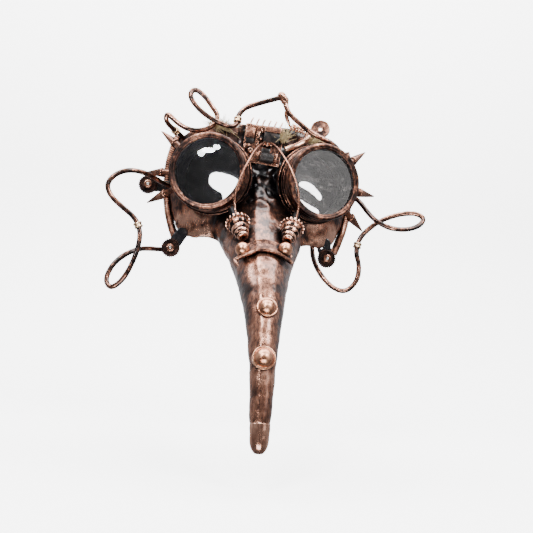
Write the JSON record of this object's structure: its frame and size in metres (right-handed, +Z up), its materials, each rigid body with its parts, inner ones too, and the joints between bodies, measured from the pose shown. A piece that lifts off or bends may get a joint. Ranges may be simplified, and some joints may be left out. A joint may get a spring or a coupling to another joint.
{
  "type": "plague doctor mask",
  "caption": "Beaked plague doctor mask with unscrewing cup goggles, spiked rims, stiff copper tendrils, nostril gears, forehead circuit board and knurled side wheels.",
  "frame": {"origin": "on the inside of the shell at the nose bridge, midway between the goggles at the height of their centres, where the mask rests on the wearer's nose", "axes": "+Z up along the face, -Y out of the front of the mask, +X to the right as seen from the front"},
  "size_m": [0.2522, 0.1493, 0.2594],
  "materials": {
    "copper_leather": "thick moulded leather, black with rubbed copper paint",
    "tip_gloss": "polished dark metal",
    "cup_metal": "black paint rubbed with copper",
    "bezel_copper": "aged copper paint",
    "lens_dark": "dark tinted glass",
    "lens_grey": "grey tinted glass",
    "gasket_rubber": "black rubber",
    "spike_black": "dark painted metal",
    "wire_copper": "aged copper paint over wire",
    "thin_wire": "copper coloured wire",
    "ferrule_brass": "worn brass",
    "bulb_bronze": "bronze paint",
    "strip_rubber": "black rubber, ribbed",
    "wheel_bronze": "aged copper paint",
    "pin_steel": "worn steel",
    "bracket_black": "dark grey enamel",
    "gear_copper": "aged copper",
    "strap_leather": "leather rubbed with copper",
    "stud_copper": "aged copper",
    "board_resin": "resin board with copper paint",
    "relay_plastic": "dark plastic",
    "lead_metal": "tinned metal",
    "brow_copper": "bright copper",
    "eyelet_brass": "antique brass",
    "jute": "raw jute fibre"
  },
  "bodies": {
    "mask": {"beak_strap": "strap_leather", "beak_stud_lower": "stud_copper", "beak_stud_upper": "stud_copper", "beak_tip_cap": "tip_gloss", "bridge_wire_left": "thin_wire", "bridge_wire_right": "thin_wire", "brow_coil": "brow_copper", "brow_tube": "brow_copper", "brow_washer": "brow_copper", "capacitors": "lead_metal", "crown_bulb": "bulb_bronze", "crown_nut": "thin_wire", "ferrule_corner": "ferrule_brass", "ferrule_crown": "ferrule_brass", "ferrule_left": "ferrule_brass", "ferrule_right": "ferrule_brass", "forehead_plate": "board_resin", "goggle_cup_left": "cup_metal", "goggle_cup_right": "cup_metal", "goggle_spikes_left": "spike_black", "goggle_spikes_right": "spike_black", "header_pins": "lead_metal", "jute_tuft_left": "jute", "jute_tuft_right": "jute", "mask_shell": "copper_leather", "nostril_gear_left": "gear_copper", "nostril_gear_right": "gear_copper", "pin_header": "relay_plastic", "relay_left": "relay_plastic", "relay_right": "relay_plastic", "ribbed_resistor": "relay_plastic", "side_strip_left": "strip_rubber", "side_strip_right": "strip_rubber", "step_cone_left": "gear_copper", "step_cone_right": "gear_copper", "strap_eyelet_left": "eyelet_brass", "strap_eyelet_right": "eyelet_brass", "strap_stud_left": "stud_copper", "strap_stud_right": "stud_copper", "tendril_brow": "wire_copper", "tendril_crown": "wire_copper", "tendril_left": "wire_copper", "tendril_right": "wire_copper", "wheel_bracket_left_lower": "bracket_black", "wheel_bracket_left_upper": "bracket_black", "wheel_bracket_right_lower": "bracket_black", "wheel_pin_left_lower": "pin_steel", "wheel_pin_left_upper": "pin_steel", "wheel_pin_right_lower": "pin_steel"},
    "lens_left": {"goggle_lens_left": "lens_dark", "lens_gasket_left": "gasket_rubber"},
    "bezel_left": {"goggle_bezel_left": "bezel_copper"},
    "lens_right": {"goggle_lens_right": "lens_grey", "lens_gasket_right": "gasket_rubber"},
    "bezel_right": {"goggle_bezel_right": "bezel_copper"},
    "wheel_left_upper": {"wheel_left_upper": "wheel_bronze"},
    "wheel_left_lower": {"wheel_left_lower": "wheel_bronze"},
    "wheel_right_lower": {"wheel_right_lower": "wheel_bronze"}
  },
  "joints": [
    {"name": "lens_lift_left", "type": "slide", "parent": "mask", "child": "lens_left", "axis": [-0.2588, -0.9659, 0], "range_m": [0, 0.0031]},
    {"name": "bezel_unscrew_left", "type": "hinge", "parent": "lens_left", "child": "bezel_left", "pos_m": [-0.0458, -0.028, 0], "axis": [-0.2588, -0.9659, 0], "range_deg": [0, 360]},
    {"name": "lens_lift_right", "type": "slide", "parent": "mask", "child": "lens_right", "axis": [0.2588, -0.9659, 0], "range_m": [0, 0.0031]},
    {"name": "bezel_unscrew_right", "type": "hinge", "parent": "lens_right", "child": "bezel_right", "pos_m": [0.0458, -0.028, 0], "axis": [0.2588, -0.9659, 0], "range_deg": [0, 360]},
    {"name": "wheel_turn_left_upper", "type": "hinge", "parent": "mask", "child": "wheel_left_upper", "pos_m": [-0.0914, 0.01485, -0.008], "axis": [0, -1, 0], "continuous": true},
    {"name": "wheel_turn_left_lower", "type": "hinge", "parent": "mask", "child": "wheel_left_lower", "pos_m": [-0.0692, 0.01195, -0.058], "axis": [0, -1, 0], "continuous": true},
    {"name": "wheel_turn_right_lower", "type": "hinge", "parent": "mask", "child": "wheel_right_lower", "pos_m": [0.0584, 0.01155, -0.0564], "axis": [0, -1, 0], "continuous": true}
  ],
  "couplings": [
    {"joint": "lens_lift_left", "follows": "bezel_unscrew_left", "m_per_rad": 0.00047746},
    {"joint": "lens_lift_right", "follows": "bezel_unscrew_right", "m_per_rad": 0.00047746}
  ]
}
